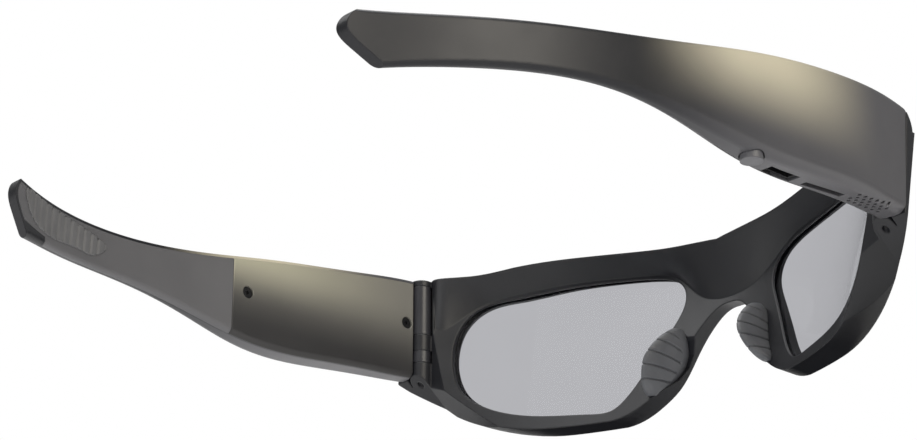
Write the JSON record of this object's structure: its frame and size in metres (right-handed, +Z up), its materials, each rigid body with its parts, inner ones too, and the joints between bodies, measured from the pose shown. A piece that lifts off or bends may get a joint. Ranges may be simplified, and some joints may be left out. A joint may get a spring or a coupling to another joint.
{
  "type": "smart glasses",
  "caption": "Wrap-around smart glasses with folding hollow temples that hold the electronics, ribbed nose pads and grips, and a button, ports and speaker grille under one temple.",
  "frame": {"origin": "on the plane under the rims, in the middle of the width and of the length from the bridge to the temples' tips", "axes": "+Z up, the front faces -Y, the temples run towards +Y, +X is the wearer's left"},
  "size_m": [0.155, 0.1681, 0.0439],
  "materials": {
    "front_plastic": "fine matte black plastic with a faint sheen",
    "shell_paint": "satin gunmetal paint that fades to near black towards the tips",
    "cover_paint": "satin bronze-grey paint",
    "tail_plastic": "fine matte grey plastic",
    "grip_rubber": "ribbed soft rubber",
    "pad_rubber": "ribbed soft rubber",
    "lens": "smooth light grey plastic lens",
    "hinge_plastic": "smooth black plastic",
    "steel": "bright steel",
    "screw_black": "blackened steel",
    "board_green": "green solder mask",
    "chip_black": "black moulded plastic",
    "ribbon": "amber film",
    "cell": "foil pouch",
    "window": "dark smooth cover",
    "button": "satin grey plastic"
  },
  "bodies": {
    "front": {"front_frame": "front_plastic", "lens_left": "lens", "lens_right": "lens", "nose_pad_left": "pad_rubber", "nose_pad_right": "pad_rubber", "brow_ribbon_left": "ribbon", "brow_ribbon_right": "ribbon", "hinge_pin_left": "steel", "hinge_pin_right": "steel", "camera_window": "window", "camera_barrel": "chip_black", "camera_board": "board_green"},
    "left_temple": {"temple_shell_left": "shell_paint", "inner_cover_left": "cover_paint", "tail_cover_left": "tail_plastic", "grip_left": "grip_rubber", "cover_screws_left": "screw_black", "hinge_block_left": "hinge_plastic", "battery": "cell", "battery_board": "board_green"},
    "right_temple": {"temple_shell_right": "shell_paint", "inner_cover_right": "cover_paint", "tail_cover_right": "tail_plastic", "grip_right": "grip_rubber", "cover_screws_right": "screw_black", "hinge_block_right": "hinge_plastic", "main_board": "board_green", "board_chips": "chip_black", "usb_port": "steel", "card_socket": "steel", "button_switch": "chip_black", "speaker": "chip_black"},
    "button": {"power_button": "button"}
  },
  "joints": [
    {"name": "left_temple_fold", "type": "hinge", "parent": "front", "child": "left_temple", "pos_m": [0.068, -0.0432, 0.026], "axis": [0, 0, 1], "range_deg": [0, 82]},
    {"name": "right_temple_fold", "type": "hinge", "parent": "front", "child": "right_temple", "pos_m": [-0.068, -0.0432, 0.026], "axis": [0, 0, -1], "range_deg": [0, 67]},
    {"name": "button_press", "type": "slide", "parent": "right_temple", "child": "button", "axis": [0, 0, 1], "range_m": [0, 0.0005], "stiffness_N_per_m": 600}
  ]
}
